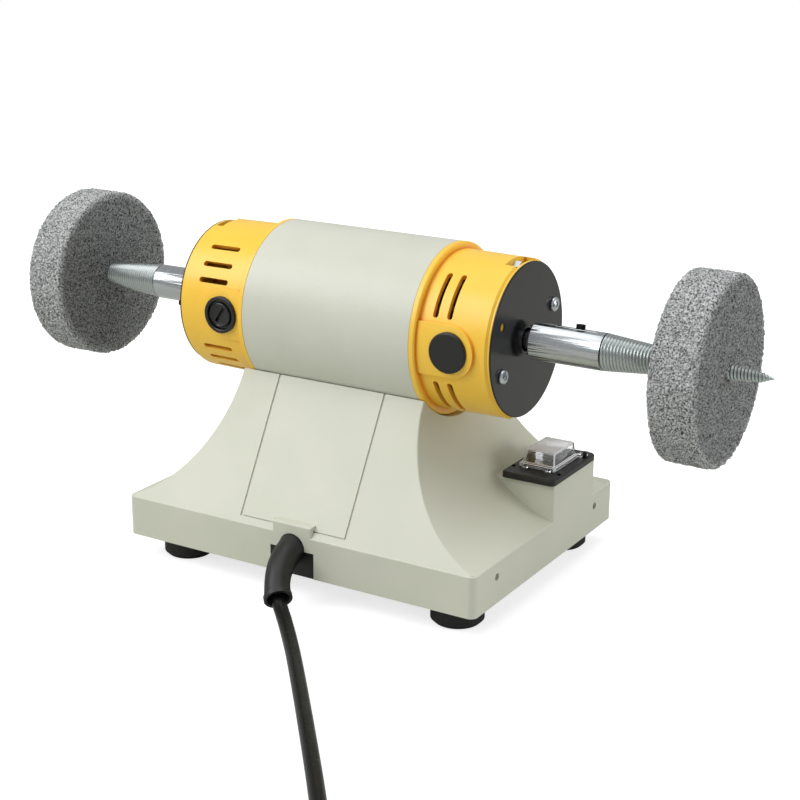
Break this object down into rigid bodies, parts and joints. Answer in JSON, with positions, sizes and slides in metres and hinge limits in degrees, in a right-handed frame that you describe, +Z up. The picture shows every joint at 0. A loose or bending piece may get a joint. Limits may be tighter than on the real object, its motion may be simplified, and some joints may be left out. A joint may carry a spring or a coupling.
{
  "type": "dental polishing lathe",
  "caption": "Bench polishing lathe: a twin-spindle motor on a flared cast pedestal, with a polishing wheel on each tapered screw spindle, a covered rocker switch and a mains cord.",
  "frame": {"origin": "bench plane under the rubber feet, midway between the two spindle ends and under the spindle axis", "axes": "+X along the spindle axis towards the switch end, +Y towards the operator, +Z up"},
  "size_m": [0.4758, 0.5315, 0.19],
  "materials": {
    "enamel": "satin textured enamel",
    "yellow_plastic": "satin",
    "black_gloss": "glossy",
    "black_plastic": "satin",
    "black_rubber": "matte",
    "zinc_steel": "bright zinc",
    "steel": "ground",
    "clear": "clear polycarbonate",
    "nylon_fibre": "coarse fibre",
    "copper": "enamelled wire",
    "lamination": "stacked sheet",
    "carbon": "matte",
    "board_green": "satin",
    "grey_plastic": "satin"
  },
  "bodies": {
    "frame": {"base_casting": "enamel", "bottom_cover": "zinc_steel", "rubber_feet": "black_rubber", "foot_screws": "zinc_steel", "outlet_insert": "black_plastic", "cord_boot": "black_rubber", "cord_clamp": "black_plastic", "mains_cord": "black_rubber", "cord_coil": "black_rubber", "plug_cord": "black_rubber", "mains_plug": "black_rubber", "plug_pins": "zinc_steel", "motor_shell": "enamel", "shell_screws": "zinc_steel", "end_bell_left": "yellow_plastic", "end_bell_right": "yellow_plastic", "end_disc_left": "black_gloss", "end_disc_right": "black_gloss", "disc_screws": "zinc_steel", "tie_bolts": "zinc_steel", "tie_nuts": "zinc_steel", "blanking_plugs": "black_plastic", "brush_holders": "black_plastic", "brush_caps": "black_plastic", "carbon_brushes": "carbon", "brush_springs": "steel", "field_core": "lamination", "field_coils": "copper", "bearing_outer_rings": "steel", "bearing_balls": "steel", "bearing_seals": "zinc_steel", "switch_frame": "black_plastic", "switch_body": "black_plastic", "switch_terminals": "copper", "potentiometer": "grey_plastic", "potentiometer_nut": "zinc_steel", "speed_board": "board_green", "board_components": "grey_plastic", "board_spacers": "grey_plastic", "terminal_block": "grey_plastic"},
    "rotor": {"motor_shaft": "steel", "armature_core": "lamination", "armature_windings": "copper", "commutator": "copper", "cooling_fan": "grey_plastic", "bearing_inner_rings": "steel", "spindle_left": "zinc_steel", "spindle_right": "zinc_steel", "spindle_set_screws": "steel", "wheel_left": "nylon_fibre", "wheel_right": "nylon_fibre"},
    "rocker": {"switch_rocker": "black_plastic"},
    "switch_lid": {"switch_cover": "clear"},
    "speed_control": {"speed_knob": "black_plastic", "potentiometer_shaft": "steel"}
  },
  "joints": [
    {"name": "rotor_spin", "type": "hinge", "parent": "frame", "child": "rotor", "pos_m": [0, 0, 0.14], "axis": [1, 0, 0], "continuous": true},
    {"name": "power_rocker", "type": "hinge", "parent": "frame", "child": "rocker", "pos_m": [0.1014, 0.03, 0.0607], "axis": [1, 0, 0], "range_deg": [0, 20]},
    {"name": "lid_hinge", "type": "hinge", "parent": "frame", "child": "switch_lid", "pos_m": [0.1014, 0.0485, 0.0633], "axis": [-1, 0, 0], "range_deg": [0, 105]},
    {"name": "speed_turn", "type": "hinge", "parent": "frame", "child": "speed_control", "pos_m": [0.00405, 0.05316, 0.07768], "axis": [0, -0.874, -0.4859], "range_deg": [0, 270]}
  ]
}
